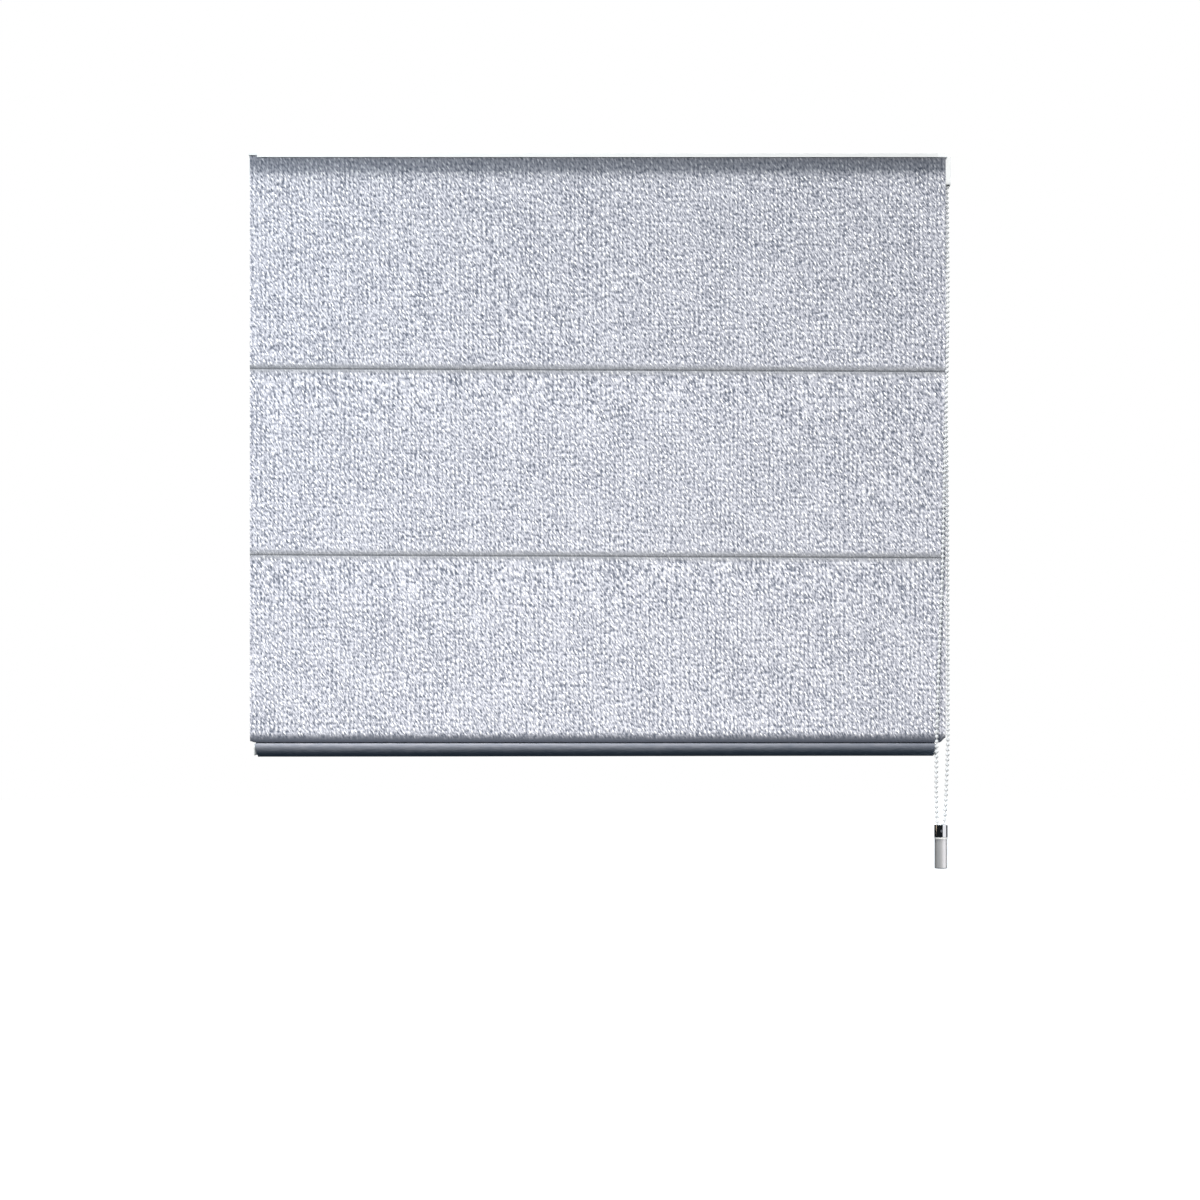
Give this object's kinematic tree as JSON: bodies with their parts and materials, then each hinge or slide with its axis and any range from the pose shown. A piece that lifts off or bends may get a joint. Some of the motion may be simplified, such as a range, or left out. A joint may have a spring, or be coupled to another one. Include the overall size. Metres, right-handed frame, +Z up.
{
  "type": "roman blind",
  "caption": "Roman blind with three flat cloth panels, white headrail, cord lift and a bead chain with a metal weight.",
  "frame": {"origin": "in the ceiling plane, at the middle of the pattern of ceiling screw holes in the two brackets; all of the blind hangs below it", "axes": "+Z up, +X to the right along the headrail, the front of the blind faces -Y and the wall is at +Y"},
  "size_m": [0.8425, 0.06, 0.8574],
  "materials": {
    "white_aluminium": "white powder coat, semi-gloss",
    "white_plastic": "moulded, fine matt",
    "zinc_steel": "zinc plated",
    "grey_plastic": "moulded, satin",
    "natural_plastic": "moulded, waxy",
    "tape": "woven, napped",
    "cloth": "coarse slubbed weave",
    "cord": "braided polyester",
    "aluminium": "extruded, natural",
    "spring_steel": "bright drawn wire",
    "glass_fibre": "pultruded rod",
    "clear_plastic": "moulded, milky",
    "bead_plastic": "moulded white beads",
    "chrome": "mirror plated",
    "pale_ring": "pale gloss",
    "satin_metal": "satin turned"
  },
  "bodies": {
    "headrail_body": {"headrail": "white_aluminium", "end_cap_left": "white_plastic", "hook_tape": "tape", "loop_tape": "tape", "bracket_left": "zinc_steel", "bracket_right": "zinc_steel", "bracket_rivets": "zinc_steel", "spool_cradle_left": "white_plastic", "spool_cradle_centre": "white_plastic", "spool_cradle_right": "white_plastic", "drive_housing": "white_plastic", "drive_cover": "white_plastic", "cover_screws": "zinc_steel", "clutch_core": "grey_plastic", "cloth": "cloth", "lift_cord_left": "cord", "lift_cord_centre": "cord", "lift_cord_right": "cord", "control_chain": "bead_plastic", "weight_collar": "chrome", "weight_ring": "pale_ring", "weight_body": "satin_metal", "weight_pin": "zinc_steel"},
    "drive": {"drive_shaft": "aluminium", "shaft_bush": "grey_plastic", "spool_left": "natural_plastic", "spool_centre": "natural_plastic", "spool_right": "natural_plastic", "wound_cord": "cord", "output_hub": "grey_plastic", "clutch_spring": "spring_steel", "chain_wheel": "grey_plastic"},
    "upper_batten": {"batten_rod_upper": "glass_fibre", "batten_caps_upper": "clear_plastic", "batten_pocket_upper": "cloth", "cord_rings_upper": "clear_plastic"},
    "lower_batten": {"batten_rod_lower": "glass_fibre", "batten_caps_lower": "clear_plastic", "batten_pocket_lower": "cloth", "cord_rings_lower": "clear_plastic"},
    "foot": {"bottom_bar": "aluminium", "bar_end_cap_left": "clear_plastic", "bar_end_cap_right": "clear_plastic", "hem_pocket": "cloth", "cord_anchors": "natural_plastic"},
    "cam_left": {"bracket_cam_left": "grey_plastic"},
    "cam_right": {"bracket_cam_right": "grey_plastic"}
  },
  "joints": [
    {"name": "lift", "type": "slide", "parent": "headrail_body", "child": "foot", "axis": [0, 0, 1], "range_m": [0, 0.53], "deforming": ["cloth", "lift_cord_left", "lift_cord_centre", "lift_cord_right"]},
    {"name": "lower_batten_rise", "type": "slide", "parent": "headrail_body", "child": "lower_batten", "axis": [0, 0, 1], "range_m": [0, 0.3614]},
    {"name": "upper_batten_rise", "type": "slide", "parent": "headrail_body", "child": "upper_batten", "axis": [0, 0, 1], "range_m": [0, 0.1926]},
    {"name": "shaft_turn", "type": "hinge", "parent": "headrail_body", "child": "drive", "pos_m": [0, 0, -0.0235], "axis": [-1, 0, 0], "range_deg": [0, 3491]},
    {"name": "left_lever", "type": "hinge", "parent": "headrail_body", "child": "cam_left", "pos_m": [-0.28, 0, -0.003], "axis": [0, 0, -1], "range_deg": [0, 90]},
    {"name": "right_lever", "type": "hinge", "parent": "headrail_body", "child": "cam_right", "pos_m": [0.28, 0, -0.003], "axis": [0, 0, 1], "range_deg": [0, 90]}
  ],
  "couplings": [
    {"joint": "lower_batten_rise", "follows": "lift", "ratio": 0.68162},
    {"joint": "upper_batten_rise", "follows": "lift", "ratio": 0.36325},
    {"joint": "shaft_turn", "follows": "lift", "rad_per_m": 114.94}
  ]
}
